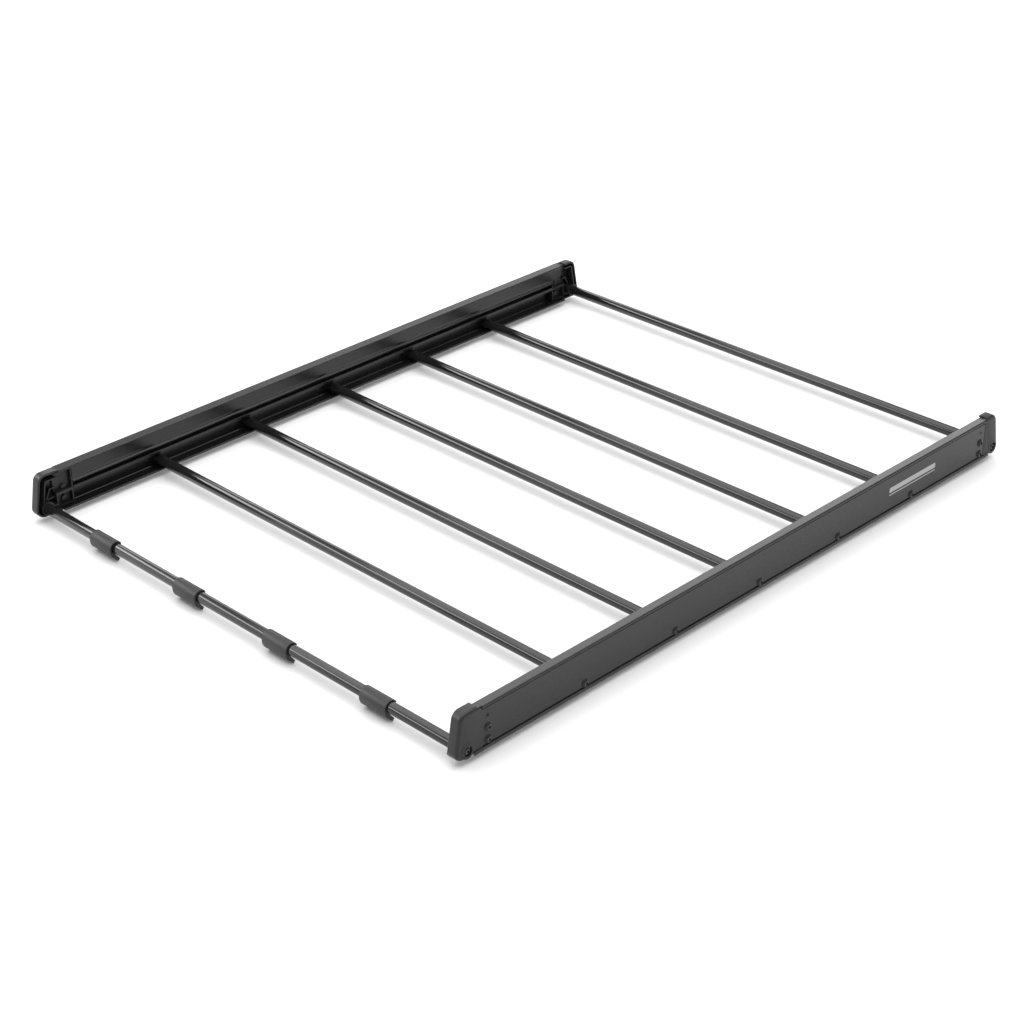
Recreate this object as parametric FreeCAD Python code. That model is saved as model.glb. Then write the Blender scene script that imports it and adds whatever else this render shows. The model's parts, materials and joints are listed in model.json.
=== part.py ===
import FreeCAD, Part
import os
from math import cos, radians, sin, tan
from FreeCAD import Vector as V

# Roof cargo basket: two extruded side rails, seven cross tubes, four moulded end caps
# and four clip-on wind clips on the front tube.
# Millimetres. X runs from the left rail to the right rail, Y from the front tube to the
# rear tube, Z up. The origin is the middle of the basket at the level of the clip tails,
# which are its lowest points.

# overall
overall_length = 1000.0
overall_width = 787.0
rail_length = 927.0
rail_height = 57.0
clip_drop = 8.5                     # clip tails hang this far below the rails
base = clip_drop                    # level of the rails' underside
half_width = overall_width / 2
half_rail = rail_length / 2

# rail section, measured inward from the outer plane and up from the underside
skin = 2.6                          # thickness of the outer web
recess = 1.0                        # the web sits back from the lip and the bead
groove = 0.8                        # shadow grooves beside the lip and the bead
lip_height = 4.6
lip_groove = 1.4
bead_height = 3.4
bead_groove = 1.3
bead_depth = 1.4                    # of the groove below the bead, from the web's face
top_width = 13.8
top_fall = 1.5                      # the top slopes down towards the inside
flange_width = 21.4
flange_wall = 2.7
flange_floor = 2.1
bead_start = 15.6                   # raised strip along the flange edge
slot_low, slot_high = 25.8, 31.6    # mouth of the tie-down slot
slot_floor, slot_roof = 22.4, 35.2  # inside of the tie-down slot
slot_back = 11.4
box_floor = 20.2                    # underside of the box part of the rail
box_bottom, box_top = 37.4, 53.2    # closed hollow
nose = 14.4                         # the slot lips stand a little proud of the wall
corner = 1.6
end_notch = 20.0                    # the box part is cut back at each end of the rail

# cross tubes; lengths along the basket are measured from the middle tube
tube_d = 14.3
tube_wall = 1.2
tube_level = flange_wall + tube_d / 2
pitch = 152.0
middle_bars = [-2, -1, 0, 1, 2]
end_bar_y = 485.6                   # from the middle tube
front_reach = 16.6                  # the front caps stand further out than the rear ones
rear_reach = overall_length - 2 * end_bar_y - front_reach
middle_y = overall_length / 2 - rear_reach - end_bar_y
web_back = recess + skin
fit_gap = 0.05                      # radial running or assembly gap

# end caps, measured like the rail
cap_top = 58.0
cap_width = 15.8
cap_foot = 17.4
foot_height = 8.0
cap_face = 0.8                      # outer face, flush with the web but for a hair
edge_round = 4.2
foot_round = 1.4
cap_wall = 2.6
cap_skin = 3.2
cap_step = 5.5                      # the tall part of the cap starts this far past the rail
end_lean = 10.0                     # degrees
end_corner = 11.0
lip_stop = 9.0                      # the cap's lip ends this far short of the end tube
socket_bottom = 10.0
socket_face = 19.0
socket_r = 9.4
counterbore_d = 12.6
counterbore_depth = 4.0
block_face = 13.2
block_side = 1.8
rib = 1.6
ridge_place = 0.55                  # of the reach, from the end wall
ridge_depth = 15.2
cap_hole_y = 455.0
cap_screw_levels = [11.0, 27.0]
boss_r, boss_length = 4.2, 5.2
stud_level = 41.5
stud_d = 5.4
stud_bore = 2.6

# fixings
screw_d = 6.0
head_d = 10.5
head_height = 3.3
socket_af = 4.0
socket_depth = 2.2
plug_length = 22.0
bar_screw_length = 20.0
cap_screw_length = 5.0
washer_d, washer_wall = 12.0, 1.2

# wind clips
clip_length = 43.0
clip_wall = 2.2
clip_pitch = 168.0
clip_places = [-1.5, -0.5, 0.5, 1.5]
clip_open = 26.0                    # degrees above level where the upper arm ends
tail_thickness = 4.2


def box(x0, x1, y0, y1, z0, z1):
    return Part.makeBox(x1 - x0, y1 - y0, z1 - z0, V(x0, y0, z0))


def rod(r, start, direction, length):
    return Part.makeCylinder(r, length, start, direction)


def face_of(edges):
    return Part.Face(Part.Wire(Part.__sortEdges__(edges)))


def outline(points, place):
    """Closed face through (a, b, radius) corners; place turns (a, b) into a vector."""
    count = len(points)
    edges = []
    starts = []
    ends = []
    for i, (a, b, radius) in enumerate(points):
        here = place(a, b)
        to_last = (place(*points[i - 1][:2]) - here).normalize()
        to_next = (place(*points[(i + 1) % count][:2]) - here).normalize()
        if not radius:
            starts.append(here)
            ends.append(here)
            continue
        half = to_last.getAngle(to_next) / 2
        cut = radius / tan(half)
        middle = here + (to_last + to_next).normalize() * (radius / sin(half) - radius)
        starts.append(here + to_last * cut)
        ends.append(here + to_next * cut)
        edges.append(Part.Arc(starts[-1], middle, ends[-1]).toShape())
    for i in range(count):
        a, b = ends[i], starts[(i + 1) % count]
        if a.distanceToPoint(b) > 1e-6:
            edges.append(Part.LineSegment(a, b).toShape())
    return face_of(edges)


def across(a, b):
    """Section of a rail: a inward from the outer plane, b up from the underside."""
    return V(a - half_width, 0, b + base)


def along(a, b):
    """Side view: a along the basket, b up from the underside."""
    return V(-half_width, a, b + base)


def rail_section():
    lip_top = lip_height + lip_groove
    bead_low = rail_height - bead_height
    outer = outline([
        (0, 0, 0.6),
        (0, lip_height, 0.5),
        (recess + groove, lip_height, 0),
        (recess + groove, lip_top, 0),
        (recess, lip_top + 0.3, 0),
        (recess, bead_low - bead_groove - 0.6, 0),
        (recess + 0.6, bead_low - bead_groove, 0),
        (recess + bead_depth, bead_low - bead_groove, 0),
        (recess + bead_depth, bead_low, 0),
        (0, bead_low, 0.4),
        (0, rail_height, corner),
        (top_width, rail_height - top_fall, 1.1),
        (top_width, 38.8, 4.0),
        (top_width - 0.9, 34.8, 0.8),
        (nose, 33.6, 0.4),
        (nose, slot_high, 0.4),
        (slot_back, slot_high, 0),
        (slot_back, slot_roof, 0.8),
        (web_back, slot_roof, 0.8),
        (web_back, slot_floor, 0.8),
        (slot_back, slot_floor, 0.8),
        (slot_back, slot_low, 0),
        (nose, slot_low, 0.8),
        (nose - 0.2, 24.2, 0),
        (top_width - 0.8, box_floor, 0.8),
        (web_back, box_floor, 0.6),
        (web_back, flange_wall, 0),
        (web_back + 1.4, flange_wall, 0),
        (web_back + 2.0, flange_floor, 0),
        (bead_start - 0.5, flange_floor, 0),
        (bead_start, flange_wall, 0),
        (flange_width, flange_wall, 0.9),
        (flange_width, 0, 0.5),
    ], across)
    hollow = outline([
        (web_back, box_bottom, 1.0),
        (web_back, box_top, 1.0),
        (top_width - 2.0, box_top, 1.0),
        (top_width - 2.0, box_bottom + 3.0, 3.0),
        (top_width - 3.2, box_bottom, 0.8),
    ], across)
    return outer.cut(hollow)


def end_cutter(side):
    """Space at one end of the rail where the block of the end cap sits."""
    low = half_rail - end_notch
    cutter = box(web_back - half_width, flange_width - half_width, low, half_rail + 1.0,
                 base + flange_wall, base + box_top)
    if side < 0:
        cutter = cutter.mirror(V(0, 0, 0), V(0, 1, 0))
    return cutter


def rail():
    solid = rail_section().extrude(V(0, rail_length, 0))
    solid.translate(V(0, -half_rail, 0))
    for side in (-1, 1):
        solid = solid.cut(end_cutter(side))
        for level in cap_screw_levels:
            solid = solid.cut(web_hole(side * cap_hole_y, level, screw_d / 2 + 0.2))
        solid = solid.cut(web_hole(side * cap_hole_y, stud_level, stud_d / 2 + 0.15))
    for n in middle_bars:
        solid = solid.cut(web_hole(n * pitch, tube_level, screw_d / 2 + 0.2))
    return solid


def web_hole(y, level, r):
    return rod(r, V(-half_width - 1.0, y, base + level), V(1, 0, 0), web_back + 1.4)


def cap_outline(end, inset, top_start):
    """Side view of the cap beyond the rail, moved inwards by inset; end is its far end."""
    lean = tan(radians(end_lean))
    foot = end - inset / cos(radians(end_lean))
    top = cap_top - inset
    return outline([
        (top_start, inset, 0),
        (foot + lean * (end_corner - inset), inset, end_corner - inset),
        (foot - lean * (top - end_corner), top, end_corner - inset),
        (top_start, top, 0),
    ], along)


def cap_shell(end):
    """Outer wall, end wall, top and bottom, open towards the inside of the basket."""
    start = half_rail + 0.15
    side = cap_outline(end, 0, start)
    body = side.extrude(V(cap_width - cap_face, 0, 0))
    body.translate(V(cap_face, 0, 0))
    body = round_rim(body, cap_face, edge_round)
    body = round_rim(body, cap_width, foot_round)
    foot = side.extrude(V(cap_foot - cap_face, 0, 0))
    foot.translate(V(cap_face, 0, 0))
    foot = round_rim(round_rim(foot, cap_face, edge_round), cap_foot, foot_round)
    foot = foot.common(box(-half_width, half_width, start, end + 1, base, base + foot_height))
    lip = side.extrude(V(cap_face, 0, 0))
    lip = lip.common(box(-half_width, half_width, start, end_bar_y - lip_stop,
                         base, base + lip_height))
    body = body.multiFuse([foot, lip])
    hollow = cap_outline(end, cap_wall, start - 1.0)
    hollow = hollow.extrude(V(cap_foot + 1.0 - cap_skin, 0, 0))
    hollow.translate(V(cap_skin, 0, 0))
    return body.cut(hollow).cut(low_top(start - 1, half_rail + cap_step))


def low_top(start, end):
    """What is taken off beside the rail so that the cap carries on the rail's own top."""
    kept = outline([
        (cap_face, box_bottom, 0),
        (cap_face, rail_height, corner),
        (top_width, rail_height - top_fall, 1.1),
        (top_width, box_bottom, 0),
    ], across).extrude(V(0, end - start, 0))
    kept.translate(V(0, start, 0))
    return box(-half_width - 1, half_width, start, end,
               base + box_bottom, base + cap_top + 1).cut(kept)


def round_rim(body, depth, r):
    """Rounds the top, corner and end edges of the cap that lie in the plane at depth."""
    plane = depth - half_width
    rims = [e for e in body.Edges
            if abs(e.BoundBox.XMin - plane) < 1e-6 and abs(e.BoundBox.XMax - plane) < 1e-6
            and (e.BoundBox.YMin > half_rail + 1.0 or e.BoundBox.ZMin > base + cap_top - 1.0)
            and e.BoundBox.ZMax > base + 1.0]
    return body.makeFillet(r, rims)


def cap_block():
    """The part of the cap inside the notched end of the rail, with two pockets."""
    y0 = half_rail - end_notch + 0.15
    y1 = half_rail + 6.0
    z0, z1 = base + flange_wall + 0.1, base + box_top - 0.1
    x0 = web_back + 0.1 - half_width
    back = box(x0, x0 + 2.4, y0, y1, z0, z1)
    walls = [
        box(x0, block_face - half_width, y0, y0 + block_side, z0, z1),
        box(x0, block_face - half_width, y1 - block_side, y1, z0, base + 24.4),
        box(x0, block_face - half_width, y0, y1, z0, z0 + block_side),
        box(x0, block_face - half_width, y0, y1, z1 - block_side, z1),
        box(x0, block_face - half_width, y0, y1, base + 20.6, base + 24.4),
    ]
    for level in cap_screw_levels:
        walls.append(rod(boss_r, V(x0, cap_hole_y, base + level), V(1, 0, 0), boss_length))
    block = back.multiFuse(walls)
    stud = rod(stud_d / 2, V(recess - 0.2 - half_width, cap_hole_y, base + stud_level),
               V(1, 0, 0), web_back - recess + 1.0)
    block = block.fuse(stud)
    block = block.cut(rod(stud_bore / 2, V(-half_width - 1, cap_hole_y, base + stud_level),
                          V(1, 0, 0), web_back + 2.5))
    for level in cap_screw_levels:
        block = block.cut(rod(screw_d / 2 + fit_gap, V(-half_width, cap_hole_y, base + level),
                              V(1, 0, 0), web_back + cap_screw_length))
    return block


def cap_ribs(end):
    """Tube socket and the ribs that tie it to the block and the end wall."""
    axis = V(1, 0, 0)
    centre = V(0.5 - half_width, end_bar_y, base + tube_level)
    socket = rod(socket_r, centre, axis, socket_face - 0.5)
    depth = 8.5
    x0 = recess - half_width
    join = half_rail + 5.0
    level = box(x0, x0 + depth, join, end_bar_y, base + 17.6, base + 17.6 + rib)
    step = box(x0, x0 + depth, join, end_bar_y - 9.0, base + 31.0, base + 31.0 + rib)
    strut = outline([
        (end_bar_y - 10.6, 32.6, 0), (end_bar_y - 8.8, 32.6, 0),
        (end_bar_y + 1.0, 12.0, 0), (end_bar_y - 0.8, 12.0, 0),
    ], along).extrude(V(depth, 0, 0))
    strut.translate(V(recess, 0, 0))
    inset = ridge_place * (end - end_bar_y)
    inner = cap_outline(end, inset, join).extrude(V(ridge_depth, 0, 0))
    inner = inner.cut(cap_outline(end, inset + rib, join - 1.0).extrude(V(ridge_depth + 1, 0, 0)))
    inner.translate(V(recess, 0, 0))
    whole = socket.multiFuse([level, step, strut, inner])
    inside = cap_outline(end, 0, half_rail + 0.15).extrude(V(cap_foot, 0, 0))
    return whole.common(inside)


def cap(reach):
    """Left rear cap whose end wall stands reach past the axis of the end tube."""
    end = end_bar_y + reach
    axis = V(1, 0, 0)
    centre = V(-half_width, end_bar_y, base + tube_level)
    solid = cap_shell(end).multiFuse([cap_block(), cap_ribs(end)])
    tools = [
        rod(tube_d / 2 + fit_gap, centre + V(socket_bottom, 0, 0), axis, 20.0),
        rod(counterbore_d / 2, centre - V(1, 0, 0), axis, counterbore_depth + 1.0),
        rod(screw_d / 2 + 0.2, centre, axis, socket_bottom + 1.0),
    ]
    for tool in tools:
        solid = solid.cut(tool)
    return solid.removeSplitter()


def tube(y, start):
    length = overall_width - 2 * start
    origin = V(start - half_width, y, base + tube_level)
    outer = rod(tube_d / 2, origin, V(1, 0, 0), length)
    return outer.cut(rod(tube_d / 2 - tube_wall, origin, V(1, 0, 0), length))


def plug(y, start):
    """Threaded plug pressed into a tube end, flush with it."""
    origin = V(start - half_width, y, base + tube_level)
    body = rod(tube_d / 2 - tube_wall - 0.02, origin, V(1, 0, 0), plug_length)
    body = body.cut(rod(screw_d / 2 + fit_gap, origin, V(1, 0, 0), plug_length))
    for place in (6.0, 11.0, 16.0):
        ring = rod(tube_d / 2, origin + V(place, 0, 0), V(1, 0, 0), 1.2)
        ring = ring.cut(rod(tube_d / 2 - tube_wall - 0.6, origin + V(place, 0, 0),
                            V(1, 0, 0), 1.2))
        body = body.cut(ring)
    return body


def screw(y, level, under_head, length):
    """Button head screw; the head bears on the plane under_head and points outwards."""
    origin = V(under_head - half_width, y, base + level)
    shank = rod(screw_d / 2, origin, V(1, 0, 0), length)
    rim = 0.8
    sphere_r = (head_d ** 2 / 4 + (head_height - rim) ** 2) / (2 * (head_height - rim))
    ball = Part.makeSphere(sphere_r, origin + V(sphere_r - head_height, 0, 0))
    head = rod(head_d / 2, origin - V(head_height, 0, 0), V(1, 0, 0), head_height)
    head = head.common(ball)
    hexagon = Part.Face(Part.makePolygon([
        origin + V(-head_height, socket_af / 2 / cos(radians(30)) * cos(radians(60 * n)),
                   socket_af / 2 / cos(radians(30)) * sin(radians(60 * n)))
        for n in range(7)]))
    return head.fuse(shank).cut(hexagon.extrude(V(socket_depth, 0, 0)))


def washer(y):
    origin = V(counterbore_depth - washer_wall - half_width, y, base + tube_level)
    disc = rod(washer_d / 2, origin, V(1, 0, 0), washer_wall)
    return disc.cut(rod(screw_d / 2 + 0.2, origin, V(1, 0, 0), washer_wall))


def clip(x):
    """C-shaped wind clip: an upper arm over the tube, a blunt nose and a lower tail."""
    r_in = tube_d / 2 + fit_gap
    r_out = tube_d / 2 + clip_wall
    def at(angle, r):
        return V(x, -end_bar_y + r * cos(radians(angle)),
                 base + tube_level + r * sin(radians(angle)))
    def rel(y, z):
        return V(x, -end_bar_y + y, base + tube_level + z)
    inner_end = 236.0
    tail_tip = -clip_drop - tube_level
    slope = radians(-44.0)
    run = V(0, cos(slope), sin(slope))
    tip_low = rel(0.6, tail_tip)
    tip_high = tip_low + V(0, -sin(slope), cos(slope)) * tail_thickness
    root_low = tip_low - run * 11.6
    nose_point = at(183.0, r_out + 1.0)
    edges = [
        Part.Arc(at(clip_open, r_in), at(130.0, r_in), at(inner_end, r_in)).toShape(),
        Part.LineSegment(at(inner_end, r_in), tip_high).toShape(),
        Part.LineSegment(tip_high, tip_low).toShape(),
        Part.LineSegment(tip_low, root_low).toShape(),
        Part.Arc(root_low, at(204.0, r_out + 1.6), nose_point).toShape(),
        Part.Arc(nose_point, at(140.0, r_out + 0.7), at(96.0, r_out + 0.2)).toShape(),
        Part.Arc(at(96.0, r_out + 0.2), at(62.0, r_out), at(clip_open, r_out - 0.7)).toShape(),
        Part.LineSegment(at(clip_open, r_out - 0.7), at(clip_open, r_in)).toShape(),
    ]
    body = face_of(edges).extrude(V(clip_length, 0, 0))
    body.translate(V(-clip_length / 2, 0, 0))
    return body


def flip(shape, x=False, y=False):
    if x:
        shape = shape.mirror(V(0, 0, 0), V(1, 0, 0))
    if y:
        shape = shape.mirror(V(0, 0, 0), V(0, 1, 0))
    return shape


def save(name, shapes):
    shape = shapes[0].copy() if len(shapes) == 1 else Part.makeCompound(shapes)
    shape.translate(V(0, middle_y, 0))
    shape.exportStep("parts/" + name + ".step")
    print(name, len(shape.Solids), shape.isValid(), round(shape.Volume / 1000, 1))


os.makedirs("parts", exist_ok=True)

side_rail = rail()
front_cap = cap(front_reach)
rear_cap = cap(rear_reach)
cap_screws = [screw(end * cap_hole_y, level, recess, cap_screw_length + web_back - recess)
              for end in (-1, 1) for level in cap_screw_levels]
bar_screws = [screw(n * pitch, tube_level, recess, bar_screw_length) for n in middle_bars]
seat = counterbore_depth - washer_wall
end_screws = [screw(end * end_bar_y, tube_level, seat, bar_screw_length + seat)
              for end in (-1, 1)]
end_washers = [washer(end * end_bar_y) for end in (-1, 1)]
plugs = [plug(n * pitch, web_back) for n in middle_bars]
plugs += [plug(end * end_bar_y, socket_bottom) for end in (-1, 1)]

for side, right in (("left", False), ("right", True)):
    save(side + "_rail", [flip(side_rail, x=right)])
    save("front_" + side + "_cap", [flip(front_cap, x=right, y=True)])
    save("rear_" + side + "_cap", [flip(rear_cap, x=right)])
    save(side + "_cap_screws", [flip(s, x=right) for s in cap_screws])
    save(side + "_bar_screws", [flip(s, x=right) for s in bar_screws])
    save(side + "_end_screws", [flip(s, x=right) for s in end_screws])
    save(side + "_end_washers", [flip(s, x=right) for s in end_washers])
    save(side + "_tube_plugs", [flip(s, x=right) for s in plugs])

save("front_crossbar", [tube(-end_bar_y, socket_bottom)])
for n in middle_bars:
    save("crossbar_" + str(n + 3), [tube(n * pitch, web_back)])
save("rear_crossbar", [tube(end_bar_y, socket_bottom)])
for number, place in enumerate(clip_places):
    save("wind_clip_" + str(number + 1), [clip(place * clip_pitch)])
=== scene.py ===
import json
import math

import bmesh
import bpy
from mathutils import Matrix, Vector
from mathutils.bvhtree import BVHTree


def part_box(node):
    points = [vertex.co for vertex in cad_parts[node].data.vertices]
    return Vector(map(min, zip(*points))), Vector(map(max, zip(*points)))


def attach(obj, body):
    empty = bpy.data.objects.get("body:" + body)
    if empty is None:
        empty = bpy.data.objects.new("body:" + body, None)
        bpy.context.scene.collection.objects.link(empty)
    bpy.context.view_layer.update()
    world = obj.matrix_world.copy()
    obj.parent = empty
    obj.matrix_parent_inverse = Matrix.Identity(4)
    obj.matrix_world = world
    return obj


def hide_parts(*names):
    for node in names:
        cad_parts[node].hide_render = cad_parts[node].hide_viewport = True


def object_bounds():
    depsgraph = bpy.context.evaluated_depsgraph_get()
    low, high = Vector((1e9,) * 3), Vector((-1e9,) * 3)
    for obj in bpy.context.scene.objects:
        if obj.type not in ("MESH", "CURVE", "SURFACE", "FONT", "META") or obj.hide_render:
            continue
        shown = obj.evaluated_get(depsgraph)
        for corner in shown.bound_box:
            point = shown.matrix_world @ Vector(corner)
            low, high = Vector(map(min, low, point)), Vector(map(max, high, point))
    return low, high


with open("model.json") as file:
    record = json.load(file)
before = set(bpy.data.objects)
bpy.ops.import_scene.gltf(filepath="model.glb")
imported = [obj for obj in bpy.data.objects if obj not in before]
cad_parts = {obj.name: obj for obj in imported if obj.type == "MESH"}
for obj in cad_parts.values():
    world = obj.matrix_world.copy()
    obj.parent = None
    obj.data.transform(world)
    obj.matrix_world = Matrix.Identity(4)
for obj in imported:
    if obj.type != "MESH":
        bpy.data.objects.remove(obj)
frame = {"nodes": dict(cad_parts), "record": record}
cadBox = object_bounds()
print("frame loaded:", len(frame["nodes"]), "nodes")

mm = 0.001
sides = ("left", "right")
ends = ("front", "rear")


class Reading:
    # wraps a socket, so that masks and grains are written as sums
    def __init__(self, paint, socket):
        self.paint = paint
        self.socket = socket

    def maths(self, operation, *others):
        values = [self, *others]
        made = self.paint.node("Math", {"operation": operation}, dict(enumerate(values)))
        return Reading(self.paint, made.outputs[0])

    def __add__(self, other):
        return self.maths("ADD", other)

    def __sub__(self, other):
        return self.maths("SUBTRACT", other)

    def __rsub__(self, other):
        return self.paint.value(other).maths("SUBTRACT", self)

    def __mul__(self, other):
        return self.maths("MULTIPLY", other)

    __radd__ = __add__
    __rmul__ = __mul__

    def size(self):
        return self.maths("ABSOLUTE")

    def between(self, low, high):
        # 0 below low, 1 above high, a smooth ramp between
        made = self.paint.node("MapRange", {"interpolation_type": "SMOOTHSTEP"},
                               {"Value": self, "From Min": low, "From Max": high})
        return Reading(self.paint, made.outputs["Result"])


class Paint:
    # one material, built from the object's own coordinates
    def __init__(self, name):
        self.material = bpy.data.materials.new(name)
        self.material.use_nodes = True
        self.tree = self.material.node_tree
        self.tree.nodes.clear()
        self.place = self.node("TexCoord").outputs["Object"]

    def node(self, kind, settings=None, inputs=None):
        made = self.tree.nodes.new("ShaderNode" + kind)
        for key, value in (settings or {}).items():
            setattr(made, key, value)
        for key, value in (inputs or {}).items():
            self.feed(made.inputs[key], value)
        return made

    def feed(self, socket, value):
        if isinstance(value, Reading):
            value = value.socket
        if isinstance(value, bpy.types.NodeSocket):
            self.tree.links.new(value, socket)
        elif isinstance(value, (tuple, list)) and len(value) == 3 and socket.type == "RGBA":
            socket.default_value = (*value, 1.0)
        else:
            socket.default_value = value

    def value(self, number):
        made = self.node("Value")
        made.outputs[0].default_value = number
        return Reading(self, made.outputs[0])

    def across(self):
        # how far along X a point lies
        made = self.node("SeparateXYZ", None, {"Vector": self.place})
        return Reading(self, made.outputs["X"])

    def attribute(self, name):
        made = self.node("Attribute", {"attribute_name": name})
        return Reading(self, made.outputs["Fac"])

    def stretched(self, scale):
        return self.node("Mapping", {"vector_type": "POINT"},
                         {"Vector": self.place, "Scale": scale}).outputs["Vector"]

    def noise(self, scale, detail=2.0, roughness=0.5, vector=None):
        made = self.node("TexNoise", None,
                         {"Vector": vector or self.place, "Scale": scale, "Detail": detail,
                          "Roughness": roughness})
        return Reading(self, made.outputs["Fac"])

    def cells(self, scale, vector=None):
        made = self.node("TexVoronoi", None, {"Vector": vector or self.place, "Scale": scale})
        return Reading(self, made.outputs["Distance"])

    def blend(self, mask, first, second):
        made = self.node("Mix", {"data_type": "RGBA"}, {0: mask, 6: first, 7: second})
        return made.outputs[2]

    def bump(self, height, distance, strength=1.0, under=None):
        inputs = {"Height": height, "Distance": distance, "Strength": strength}
        if under is not None:
            inputs["Normal"] = under
        return self.node("Bump", None, inputs).outputs["Normal"]

    def finish(self, inputs):
        shader = self.node("BsdfPrincipled", None, inputs)
        output = self.node("OutputMaterial")
        self.tree.links.new(shader.outputs["BSDF"], output.inputs["Surface"])
        return self.material


def grey(level, warmth=0.0):
    return (level * (1 + warmth), level, level * (1 - warmth))


railFinish = {
    "dark": 0.004, "light": 0.007, "rubbed": 0.022, "ior": 1.43, "roughness": 0.27,
    "dieLines": (1500, 3.0, 1500), "dieLineDepth": 0.0012 * mm,
    "grain": 5200, "grainDepth": 0.003 * mm, "clouds": 9.0,
    "rubStart": 0.5 * mm, "rubEnd": 0.05 * mm, "rubPatches": 60,
}


def railBlack():
    # satin black anodising: die lines run along the rail, edges are rubbed a little lighter
    look = railFinish
    paint = Paint("railBlack")
    lines = paint.noise(1.0, 3.0, 0.6, paint.stretched(look["dieLines"]))
    grain = paint.noise(look["grain"], 2.0)
    cloud = paint.noise(look["clouds"], 3.0, 0.6)
    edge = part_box("right_rail")[1].x
    rub = paint.across().size().between(edge - look["rubStart"], edge - look["rubEnd"])
    rub = rub * paint.noise(look["rubPatches"], 4.0, 0.7).between(0.35, 0.75)
    tone = cloud.between(0.3, 0.7) * 0.7 + lines * 0.3
    colour = paint.blend(tone, grey(look["dark"]), grey(look["light"], -0.01))
    colour = paint.blend(rub * 0.6, colour, grey(look["rubbed"]))
    roughness = look["roughness"] + (cloud - 0.5) * 0.10 + (lines - 0.5) * 0.04
    normal = paint.bump(lines, look["dieLineDepth"], 0.3)
    normal = paint.bump(grain, look["grainDepth"], 0.35, normal)
    return paint.finish({"Base Color": colour, "Roughness": roughness, "Normal": normal,
                         "IOR": look["ior"]})


tubeFinish = {
    "dark": 0.006, "light": 0.012, "scuffed": 0.04, "ior": 1.5, "roughness": 0.13,
    "peel": 420, "peelDepth": 0.008 * mm, "grain": 4200, "grainDepth": 0.004 * mm,
    "clouds": 14.0, "cloudStretch": (0.4, 1.0, 1.0), "scuffs": (30, 420, 420),
}


def tubeBlack():
    # satin powder coat with a faint orange peel
    look = tubeFinish
    paint = Paint("tubeBlack")
    peel = paint.noise(look["peel"], 2.0, 0.4)
    grain = paint.noise(look["grain"], 2.0)
    cloud = paint.noise(look["clouds"], 4.0, 0.6, paint.stretched(look["cloudStretch"]))
    scuff = paint.noise(1.0, 3.0, 0.7, paint.stretched(look["scuffs"])).between(0.63, 0.78)
    colour = paint.blend(cloud.between(0.3, 0.7), grey(look["dark"]), grey(look["light"]))
    colour = paint.blend(scuff * 0.35, colour, grey(look["scuffed"]))
    roughness = look["roughness"] + (cloud - 0.5) * 0.08 + scuff * 0.10
    normal = paint.bump(peel, look["peelDepth"], 0.5)
    normal = paint.bump(grain, look["grainDepth"], 0.3, normal)
    return paint.finish({"Base Color": colour, "Roughness": roughness, "Normal": normal,
                         "IOR": look["ior"]})


capFinish = {
    "dark": 0.005, "light": 0.010, "ior": 1.42, "roughness": 0.40,
    "texture": 1900, "pitScale": 0.7, "textureDepth": 0.02 * mm, "flow": 38.0,
}


def capPlastic():
    # moulded plastic with a fine spark-eroded texture and faint flow marks
    look = capFinish
    paint = Paint("capPlastic")
    texture = paint.noise(look["texture"], 3.0, 0.6)
    pits = paint.cells(look["texture"] * look["pitScale"])
    flow = paint.noise(look["flow"], 4.0, 0.6)
    colour = paint.blend(flow.between(0.3, 0.72), grey(look["dark"]), grey(look["light"]))
    roughness = look["roughness"] + (flow - 0.5) * 0.16 + (texture - 0.5) * 0.10
    normal = paint.bump(texture + pits * 0.4, look["textureDepth"], 0.45)
    return paint.finish({"Base Color": colour, "Roughness": roughness, "Normal": normal,
                         "IOR": look["ior"]})


clipFinish = {
    "dark": 0.009, "light": 0.016, "dusty": 0.035, "ior": 1.43, "roughness": 0.46,
    "texture": 2600, "textureDepth": 0.02 * mm,
    "flow": 55.0, "flowStretch": (0.5, 1.0, 1.0), "dust": 240.0,
}


def clipPlastic():
    # soft grey-black plastic, matt, a little dusty where it has been handled
    look = clipFinish
    paint = Paint("clipPlastic")
    texture = paint.noise(look["texture"], 3.0, 0.6)
    flow = paint.noise(look["flow"], 4.0, 0.65, paint.stretched(look["flowStretch"]))
    dust = paint.noise(look["dust"], 4.0, 0.7).between(0.55, 0.8)
    colour = paint.blend(flow.between(0.3, 0.7), grey(look["dark"]), grey(look["light"]))
    colour = paint.blend(dust * 0.25, colour, grey(look["dusty"]))
    roughness = look["roughness"] + (flow - 0.5) * 0.12 + dust * 0.08
    normal = paint.bump(texture, look["textureDepth"], 0.4)
    return paint.finish({"Base Color": colour, "Roughness": roughness, "Normal": normal,
                         "IOR": look["ior"]})


screwFinish = {
    "dark": 0.022, "light": 0.040, "worn": 0.24, "metallic": 0.85, "roughness": 0.18,
    "ringsPerMetre": 9000.0, "specks": 1600, "depth": 0.006 * mm,
}


def screwBlack():
    # black zinc over turned steel; the rim of the socket is worn bright
    look = screwFinish
    paint = Paint("screwBlack")
    radius = paint.attribute("turned")
    rings = (radius * look["ringsPerMetre"]).maths("SINE") * 0.5 + 0.5
    speck = paint.noise(look["specks"], 3.0, 0.6)
    worn = paint.attribute("rim") * speck.between(0.4, 0.6) * 0.7
    colour = paint.blend(speck.between(0.35, 0.65), grey(look["dark"]), grey(look["light"]))
    colour = paint.blend(worn, colour, grey(look["worn"]))
    roughness = look["roughness"] + (speck - 0.5) * 0.2 + rings * 0.05
    normal = paint.bump(rings * 0.5 + speck, look["depth"], 0.35)
    return paint.finish({"Base Color": colour, "Roughness": roughness, "Normal": normal,
                         "Metallic": look["metallic"]})


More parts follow.
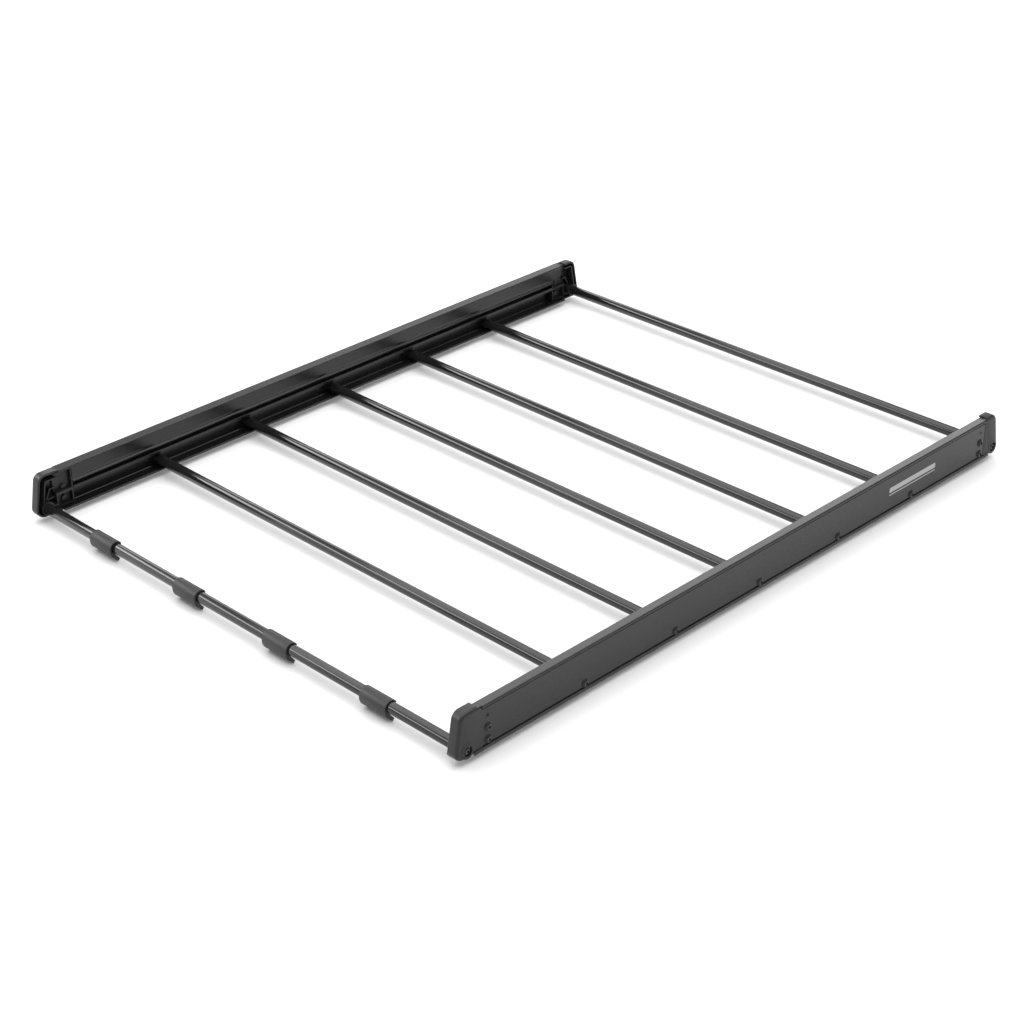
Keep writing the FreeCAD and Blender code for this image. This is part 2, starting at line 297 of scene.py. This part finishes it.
zincFinish = {
    "dark": 0.36, "light": 0.52, "roughness": 0.34, "bloom": 900, "stains": 180,
    "depth": 0.006 * mm,
}


def washerZinc():
    # bright zinc plating with a fine crystal bloom
    look = zincFinish
    paint = Paint("washerZinc")
    bloom = paint.cells(look["bloom"])
    stain = paint.noise(look["stains"], 4.0, 0.7)
    colour = paint.blend(stain.between(0.3, 0.7), grey(look["dark"], 0.01),
                         grey(look["light"], -0.01))
    roughness = look["roughness"] + bloom * 0.12 + (stain - 0.5) * 0.15
    normal = paint.bump(bloom + stain * 0.5, look["depth"], 0.3)
    return paint.finish({"Base Color": colour, "Roughness": roughness, "Normal": normal,
                         "Metallic": 1.0})


plugFinish = {
    "dark": 0.42, "light": 0.60, "roughness": 0.30, "toolMarks": (5200, 6, 6),
    "stains": 160, "depth": 0.008 * mm,
}


def plugAluminium():
    # turned aluminium, tool marks round its length
    look = plugFinish
    paint = Paint("plugAluminium")
    marks = paint.noise(1.0, 2.0, 0.5, paint.stretched(look["toolMarks"]))
    stain = paint.noise(look["stains"], 4.0, 0.6)
    colour = paint.blend(stain.between(0.3, 0.7), grey(look["dark"]),
                         grey(look["light"], -0.01))
    roughness = look["roughness"] + (marks - 0.5) * 0.2
    normal = paint.bump(marks, look["depth"], 0.5)
    return paint.finish({"Base Color": colour, "Roughness": roughness, "Normal": normal,
                         "Metallic": 1.0})


printFinish = {
    "light": 0.34, "thin": 0.22, "roughness": 0.48, "speckles": 1500, "clouds": 90,
    "depth": 0.006 * mm,
}


def markPrint():
    # pale screen print, a little thin in places
    look = printFinish
    paint = Paint("markPrint")
    speckle = paint.noise(look["speckles"], 3.0, 0.6)
    cloud = paint.noise(look["clouds"], 3.0, 0.6)
    thin = speckle.between(0.52, 0.7) * cloud.between(0.4, 0.7)
    colour = paint.blend(thin, grey(look["light"]), grey(look["thin"]))
    roughness = look["roughness"] + (speckle - 0.5) * 0.15
    normal = paint.bump(speckle, look["depth"], 0.3)
    return paint.finish({"Base Color": colour, "Roughness": roughness, "Normal": normal})


finishes = {
    "rail_black": railBlack(),
    "tube_black": tubeBlack(),
    "cap_plastic": capPlastic(),
    "clip_plastic": clipPlastic(),
    "screw_black": screwBlack(),
    "washer_steel": washerZinc(),
    "plug_aluminium": plugAluminium(),
}
print("finishes ready:", len(finishes))


def slotOf(node):
    for part in frame["record"]["subparts"]:
        if part["node"] == node:
            return part["material_slot"]


def bodyOf(node):
    for body, nodes in frame["record"]["behaviour"]["bodies"].items():
        if node in nodes:
            return body


def shadeByAngle(mesh, degrees):
    for polygon in mesh.polygons:
        polygon.use_smooth = True
    mesh.set_sharp_from_angle(angle=math.radians(degrees))


def addPiece(name, mesh, nodes):
    # a finished piece takes the body and the finish of the CAD nodes that it stands for
    piece = bpy.data.objects.new(name, mesh)
    bpy.context.scene.collection.objects.link(piece)
    mesh.materials.clear()
    mesh.materials.append(finishes[slotOf(nodes[0])])
    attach(piece, bodyOf(nodes[0]))
    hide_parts(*nodes)
    slotOf(nodes[0])
    return piece


def evaluatedMesh(holder, name):
    # the modifiers' result as a plain mesh; the holder is thrown away
    bpy.context.view_layer.update()
    graph = bpy.context.evaluated_depsgraph_get()
    mesh = bpy.data.meshes.new_from_object(holder.evaluated_get(graph), depsgraph=graph)
    mesh.name = name
    old = holder.data
    holder.modifiers.clear()
    bpy.data.objects.remove(holder)
    bpy.data.meshes.remove(old)
    return mesh


def holderOf(name, mesh):
    holder = bpy.data.objects.new(name, mesh)
    bpy.context.scene.collection.objects.link(holder)
    return holder


class Tree:
    # a geometry node tree with named inputs, ended by Realize Instances and Set Material
    def __init__(self, name, inputs):
        self.tree = bpy.data.node_groups.new(name, "GeometryNodeTree")
        face = self.tree.interface
        face.new_socket("Geometry", in_out="INPUT", socket_type="NodeSocketGeometry")
        self.sockets = {}
        for label, (kind, value) in inputs.items():
            made = face.new_socket(label, in_out="INPUT", socket_type="NodeSocket" + kind)
            if value is not None:
                made.default_value = value
            self.sockets[label] = made.identifier
        face.new_socket("Geometry", in_out="OUTPUT", socket_type="NodeSocketGeometry")
        self.entry = self.tree.nodes.new("NodeGroupInput")
        self.exit = self.tree.nodes.new("NodeGroupOutput")

    def __getitem__(self, label):
        return self.entry.outputs[label]

    def node(self, kind, settings=None, inputs=None):
        made = self.tree.nodes.new(kind)
        for key, value in (settings or {}).items():
            setattr(made, key, value)
        for key, value in (inputs or {}).items():
            if isinstance(value, bpy.types.NodeSocket):
                self.tree.links.new(value, made.inputs[key])
            else:
                made.inputs[key].default_value = value
        return made

    def maths(self, operation, first, second):
        return self.node("ShaderNodeMath", {"operation": operation}, {0: first, 1: second}).outputs[0]

    def vector(self, x=0.0, y=0.0, z=0.0):
        return self.node("ShaderNodeCombineXYZ", None, {0: x, 1: y, 2: z}).outputs[0]

    def join(self, *geometries):
        made = self.node("GeometryNodeJoinGeometry")
        for geometry in reversed(geometries):
            self.tree.links.new(geometry, made.inputs[0])
        return made.outputs[0]

    def end(self, geometry):
        real = self.node("GeometryNodeRealizeInstances", None, {"Geometry": geometry})
        dressed = self.node("GeometryNodeSetMaterial", None,
                            {"Geometry": real.outputs[0], "Material": self["Material"]})
        self.tree.links.new(dressed.outputs[0], self.exit.inputs[0])

    def run(self, name, points, values):
        # grows the tree on a holder whose vertices are the places, and returns a plain mesh
        mesh = bpy.data.meshes.new(name)
        mesh.from_pydata([tuple(p) for p in points], [], [])
        holder = holderOf(name, mesh)
        modifier = holder.modifiers.new("grown", "NODES")
        modifier.node_group = self.tree
        for label, value in values.items():
            modifier[self.sockets[label]] = value
        return evaluatedMesh(holder, name)


tube = {
    "wall": 1.2 * mm, "endChamfer": 0.5 * mm, "chamferSteps": 2, "sides": 96, "sharpFrom": 30,
}


def tubeTree():
    tree = Tree("crossTube", {
        "Length": ("Float", 0.78), "Radius": ("Float", 7.15 * mm), "Wall": ("Float", tube["wall"]),
        "Chamfer": ("Float", tube["endChamfer"]), "Sides": ("Int", tube["sides"]),
        "Material": ("Material", None),
    })
    half = tree.maths("MULTIPLY", tree["Wall"], 0.5)
    path = tree.node("GeometryNodeCurvePrimitiveCircle", None,
                     {"Resolution": tree["Sides"],
                      "Radius": tree.maths("SUBTRACT", tree["Radius"], half)})
    wall = tree.node("GeometryNodeCurvePrimitiveQuadrilateral", {"mode": "RECTANGLE"},
                     {"Width": tree["Wall"], "Height": tree["Length"]})
    wall = tree.node("GeometryNodeFilletCurve", {"mode": "POLY"},
                     {"Curve": wall.outputs[0], "Radius": tree["Chamfer"],
                      "Count": tube["chamferSteps"]})
    swept = tree.node("GeometryNodeCurveToMesh", None,
                      {"Curve": path.outputs[0], "Profile Curve": wall.outputs[0]})
    # the ring is grown round Z and laid along X
    laid = tree.node("GeometryNodeTransform", None,
                     {"Geometry": swept.outputs[0], "Rotation": (0.0, math.pi / 2, 0.0)})
    placed = tree.node("GeometryNodeInstanceOnPoints", None,
                       {"Points": tree["Geometry"], "Instance": laid.outputs[0]})
    tree.end(placed.outputs[0])
    return tree


def buildTubes():
    tree = tubeTree()
    nodes = [end + "_crossbar" for end in ends] + ["crossbar_%d" % n for n in range(1, 6)]
    for node in nodes:
        low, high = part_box(node)
        values = {"Length": high.x - low.x, "Radius": (high.z - low.z) / 2,
                  "Material": finishes[slotOf(node)]}
        mesh = tree.run(node + "_tube", [(low + high) / 2], values)
        shadeByAngle(mesh, tube["sharpFrom"])
        addPiece(node + "_tube", mesh, [node])
    print("cross tubes:", len(nodes))


screw = {
    "headHeight": 3.3 * mm, "rim": 0.7 * mm, "shank": 3.0 * mm, "socketAcross": 4.0 * mm,
    "socketDepth": 2.0 * mm, "sides": 48, "shankSides": 24, "crownRings": 160,
    "wornFrom": 2.2 * mm, "wornTo": 3.2 * mm, "turnSeed": 7, "sharpFrom": 28,
}


def screwTree():
    # grown along +X: the head's crown is at the origin, the shank runs towards +X
    tree = Tree("buttonScrew", {
        "Head Radius": ("Float", 5.25 * mm), "Head Height": ("Float", screw["headHeight"]),
        "Rim": ("Float", screw["rim"]), "Shank Radius": ("Float", screw["shank"]),
        "Length": ("Float", 20 * mm), "Socket": ("Float", screw["socketAcross"]),
        "Socket Depth": ("Float", screw["socketDepth"]), "Sides": ("Int", screw["sides"]),
        "Inward": ("Float", 1.0), "Material": ("Material", None),
    })
    # the four sums, by their plain names
    add, less, times, over = (lambda a, b, operation=operation: tree.maths(operation, a, b)
                              for operation in ("ADD", "SUBTRACT", "MULTIPLY", "DIVIDE"))
    # crown: a cap of a sphere whose rim is Rim thick at the head's edge
    rise = less(tree["Head Height"], tree["Rim"])
    ballRadius = over(add(times(tree["Head Radius"], tree["Head Radius"]), times(rise, rise)),
                      times(rise, 2.0))
    ball = tree.node("GeometryNodeMeshUVSphere", None,
                     {"Segments": tree["Sides"], "Rings": screw["crownRings"],
                      "Radius": ballRadius})
    ball = tree.node("GeometryNodeTransform", None,
                     {"Geometry": ball.outputs[0],
                      "Translation": tree.vector(z=less(ballRadius, tree["Head Height"]))})
    drum = tree.node("GeometryNodeMeshCylinder", None,
                     {"Vertices": tree["Sides"], "Radius": tree["Head Radius"],
                      "Depth": tree["Head Height"]})
    drum = tree.node("GeometryNodeTransform", None,
                     {"Geometry": drum.outputs[0],
                      "Translation": tree.vector(z=times(tree["Head Height"], -0.5))})
    head = tree.node("GeometryNodeMeshBoolean", {"operation": "INTERSECT", "solver": "EXACT"})
    tree.tree.links.new(ball.outputs[0], head.inputs["Mesh 2"])
    tree.tree.links.new(drum.outputs[0], head.inputs["Mesh 2"])
    hexagon = tree.node("GeometryNodeMeshCylinder", None,
                        {"Vertices": 6, "Radius": over(tree["Socket"], math.sqrt(3)),
                         "Depth": times(tree["Socket Depth"], 2.0)})
    hexagon = tree.node("GeometryNodeTransform", None,
                        {"Geometry": hexagon.outputs[0],
                         "Translation": tree.vector(z=times(tree["Head Height"], -1.0))})
    socketed = tree.node("GeometryNodeMeshBoolean",
                         {"operation": "DIFFERENCE", "solver": "EXACT"})
    tree.tree.links.new(head.outputs[0], socketed.inputs["Mesh 1"])
    tree.tree.links.new(hexagon.outputs[0], socketed.inputs["Mesh 2"])
    shank = tree.node("GeometryNodeMeshCylinder", None,
                      {"Vertices": screw["shankSides"], "Radius": tree["Shank Radius"],
                       "Depth": tree["Length"]})
    shank = tree.node("GeometryNodeTransform", None,
                      {"Geometry": shank.outputs[0],
                       "Translation": tree.vector(z=times(tree["Length"], 0.5))})
    whole = tree.join(socketed.outputs[0], shank.outputs[0])
    # how far each point is from the screw's axis, for the turned rings, and where the rim is
    place = tree.node("ShaderNodeSeparateXYZ", None,
                      {0: tree.node("GeometryNodeInputPosition").outputs[0]})
    away = tree.node("ShaderNodeMath", {"operation": "SQRT"},
                     {0: add(times(place.outputs[0], place.outputs[0]),
                             times(place.outputs[1], place.outputs[1]))})
    whole = tree.node("GeometryNodeStoreNamedAttribute", {"data_type": "FLOAT", "domain": "POINT"},
                      {"Geometry": whole, "Name": "turned", "Value": away.outputs[0]})
    socketRim = tree.node("ShaderNodeMapRange", {"interpolation_type": "SMOOTHSTEP"},
                          {"Value": away.outputs[0], "From Min": screw["wornTo"],
                           "From Max": screw["wornFrom"]})
    whole = tree.node("GeometryNodeStoreNamedAttribute", {"data_type": "FLOAT", "domain": "POINT"},
                      {"Geometry": whole.outputs[0], "Name": "rim", "Value": socketRim.outputs[0]})
    turn = times(tree["Inward"], math.pi / 2)
    laid = tree.node("GeometryNodeTransform", None,
                     {"Geometry": whole.outputs[0], "Rotation": tree.vector(y=turn)})
    # each screw stops at its own angle
    spin = tree.node("FunctionNodeRandomValue", {"data_type": "FLOAT"},
                     {2: 0.0, 3: math.pi / 3, "Seed": screw["turnSeed"]})
    placed = tree.node("GeometryNodeInstanceOnPoints", None,
                       {"Points": tree["Geometry"], "Instance": laid.outputs[0],
                        "Rotation": tree.vector(x=spin.outputs[1])})
    tree.end(placed.outputs[0])
    return tree


def screwPlaces(node, count, headRadius, underHead):
    # rows of screws fill the node's box from corner to corner
    low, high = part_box(node)
    rows = (low.z + headRadius, high.z - headRadius)
    rows = rows if rows[1] - rows[0] > headRadius else rows[:1]
    perRow = count // len(rows)
    first, last = low.y + headRadius, high.y - headRadius
    return [Vector((underHead, first + (last - first) * n / (perRow - 1), z))
            for z in rows for n in range(perRow)]


def buildScrews():
    tree = screwTree()
    for side in sides:
        inward = 1.0 if side == "left" else -1.0
        for kind, count in (("bar", 5), ("cap", 4), ("end", 2)):
            node = side + "_" + kind + "_screws"
            low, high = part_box(node)
            headRadius = (high.z - low.z) / 2 if kind != "cap" else barHeadRadius()
            crown = low.x if side == "left" else high.x
            underHead = crown + inward * screw["headHeight"]
            length = high.x - low.x - screw["headHeight"]
            values = {"Head Radius": headRadius, "Length": length, "Inward": inward,
                      "Material": finishes[slotOf(node)]}
            mesh = tree.run(node + "_set", screwPlaces(node, count, headRadius, underHead), values)
            shadeByAngle(mesh, screw["sharpFrom"])
            addPiece(node + "_set", mesh, [node])
    print("screws in place")


def barHeadRadius():
    # the cap screws stand in two rows, so their head is taken from the single row of bar screws
    low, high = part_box("left_bar_screws")
    return (high.z - low.z) / 2


moulding = {
    "capEdge": 0.45 * mm, "clipEdge": 0.5 * mm, "segments": 3, "weld": 0.004 * mm,
    "flatBelow": 0.6, "sharpFrom": 40,
}


def softened(node, width):
    # a welded copy of the CAD shape with its sharp edges rounded off
    mesh = frame["nodes"][node].data.copy()
    shape = bmesh.new()
    shape.from_mesh(mesh)
    bmesh.ops.remove_doubles(shape, verts=shape.verts, dist=moulding["weld"])
    bmesh.ops.dissolve_limit(shape, angle_limit=math.radians(moulding["flatBelow"]),
                             verts=shape.verts, edges=shape.edges)
    shape.to_mesh(mesh)
    shape.free()
    holder = holderOf(node + "_soft", mesh)
    rounding = holder.modifiers.new("edges", "BEVEL")
    rounding.width = width
    rounding.segments = moulding["segments"]
    rounding.limit_method = "ANGLE"
    rounding.angle_limit = math.radians(moulding["sharpFrom"])
    rounding.use_clamp_overlap = True
    return evaluatedMesh(holder, node + "_soft")


def buildMouldings():
    edges = {end + "_" + side + "_cap": moulding["capEdge"] for end in ends for side in sides}
    edges.update({"wind_clip_%d" % n: moulding["clipEdge"] for n in range(1, 5)})
    for node, width in edges.items():
        mesh = softened(node, width)
        shadeByAngle(mesh, moulding["sharpFrom"])
        addPiece(node + "_moulding", mesh, [node])
    print("caps and clips:", len(edges))


mark = {
    "middle": 307 * mm, "long": 98 * mm, "level": 33 * mm, "tall": 7 * mm, "stripe": 1.4 * mm,
    "gap": 2.6 * mm, "ink": 0.03 * mm, "corner": 1.6 * mm, "steps": 6,
}


def webSurface(node, y, z, side):
    # where a line from outside meets the rail
    shape = frame["nodes"][node].data
    tree = BVHTree.FromPolygons([v.co for v in shape.vertices],
                                [tuple(p.vertices) for p in shape.polygons])
    return tree.ray_cast(Vector((side * 1.0, y, z)), Vector((-side, 0, 0)))[0].x


def roundedBar(shape, centre, size, side, x):
    # a flat bar of ink with round corners, standing on the web
    y, z = centre
    half = (size[0] / 2, size[1] / 2)
    r = min(mark["corner"], half[1])
    rim = []
    for n, (sy, sz) in enumerate(((1, 1), (-1, 1), (-1, -1), (1, -1))):
        for step in range(mark["steps"] + 1):
            turn = math.pi / 2 * (n + step / mark["steps"])
            rim.append((y + sy * (half[0] - r) + r * math.cos(turn),
                        z + sz * (half[1] - r) + r * math.sin(turn)))
    low = [shape.verts.new((x, a, b)) for a, b in rim]
    high = [shape.verts.new((x + side * mark["ink"], a, b)) for a, b in rim]
    shape.faces.new(low)
    shape.faces.new(high)
    for n in range(len(rim)):
        after = (n + 1) % len(rim)
        shape.faces.new((low[n], low[after], high[after], high[n]))


def buildMarks():
    # a plain bar over a thin stripe, printed on the outside of each rail
    for name, side in zip(sides, (-1, 1)):
        node = name + "_rail"
        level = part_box(node)[0].z + mark["level"]
        x = webSurface(node, mark["middle"], level, side)
        shape = bmesh.new()
        roundedBar(shape, (mark["middle"], level), (mark["long"], mark["tall"]), side, x)
        below = level - mark["tall"] / 2 - mark["gap"] - mark["stripe"] / 2
        roundedBar(shape, (mark["middle"], below), (mark["long"], mark["stripe"]), side, x)
        bmesh.ops.recalc_face_normals(shape, faces=shape.faces)
        mesh = bpy.data.meshes.new(name + "_mark")
        shape.to_mesh(mesh)
        shape.free()
        mesh.materials.append(markPrint())
        piece = bpy.data.objects.new(name + "_mark", mesh)
        bpy.context.scene.collection.objects.link(piece)
        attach(piece, bodyOf(node))
        slotOf(node)
    print("marks printed")


buildTubes()
buildScrews()
buildMouldings()
buildMarks()

# rails, washers and plugs keep their CAD shape
for node, shape in frame["nodes"].items():
    if not shape.hide_render:
        shape.data.materials.clear()
        shape.data.materials.append(finishes[slotOf(node)])


studio = {
    "floorSize": 60.0, "floorTone": 0.78, "floorRoughness": 0.7, "floorDrop": 0.05 * mm,
    "world": 0.75,
    # each card: middle, width and height, radiance, and whether it lights the floor;
    # all of them face the object
    "cards": {
        "overhead": ((0.0, 0.0, 3.0), (5.0, 5.0), 2.2, True),
        "frontLeft": ((-2.0, -2.0, 1.55), (4.4, 0.85), 6.5, False),
        "rearLeft": ((-2.9, 2.5, 1.45), (3.6, 1.3), 2.0, True),
        "lowFront": ((-2.65, -2.9, 0.45), (2.2, 0.55), 2.1, True),
    },
}


def buildStudio():
    mesh = bpy.data.meshes.new("floor")
    half = studio["floorSize"] / 2
    level = cadBox[0].z - studio["floorDrop"]
    mesh.from_pydata([(-half, -half, level), (half, -half, level), (half, half, level),
                      (-half, half, level)], [], [(0, 1, 2, 3)])
    floor = bpy.data.objects.new("floor", mesh)
    bpy.context.scene.collection.objects.link(floor)
    paint = Paint("floorPaper")
    tone = paint.noise(3.0, 3.0, 0.5)
    colour = paint.blend(tone, grey(studio["floorTone"]), grey(studio["floorTone"] + 0.01))
    mesh.materials.append(paint.finish({"Base Color": colour,
                                        "Roughness": studio["floorRoughness"]}))
    for name, (place, size, radiance, onFloor) in studio["cards"].items():
        areaLight(name, place, (0, 0, 0), size, radiance).visible_diffuse = onFloor
    world = bpy.data.worlds.new("studio")
    bpy.context.scene.world = world
    world.use_nodes = True
    background = world.node_tree.nodes["Background"]
    background.inputs["Color"].default_value = (1, 1, 1, 1)
    background.inputs["Strength"].default_value = studio["world"]


def areaLight(name, place, target, size, radiance):
    # the power that gives a lamp of this size the radiance asked for
    data = bpy.data.lights.new(name, "AREA")
    data.shape = "RECTANGLE"
    data.size, data.size_y = size
    data.energy = radiance * math.pi * size[0] * size[1]
    lamp = bpy.data.objects.new(name, data)
    lamp.location = place
    lamp.rotation_euler = (Vector(target) - Vector(place)).to_track_quat("-Z", "Y").to_euler()
    bpy.context.scene.collection.objects.link(lamp)
    return lamp


view = {
    "place": (1.7772, -1.7831, 1.3581), "turn": (61.075907, 0.705489, 44.970782),
    "lens": 76.78125, "sensor": 36.0, "shift": (0.0022, -0.0017), "farthest": 200.0,
}


def buildCamera():
    data = bpy.data.cameras.new("camera")
    data.lens = view["lens"]
    data.sensor_width = view["sensor"]
    data.shift_x, data.shift_y = view["shift"]
    data.clip_end = view["farthest"]
    camera = bpy.data.objects.new("camera", data)
    camera.location = view["place"]
    camera.rotation_euler = [math.radians(angle) for angle in view["turn"]]
    bpy.context.scene.collection.objects.link(camera)
    bpy.context.scene.camera = camera


buildStudio()
buildCamera()
bpy.context.scene.view_settings.view_transform = "Standard"
print("studio ready")
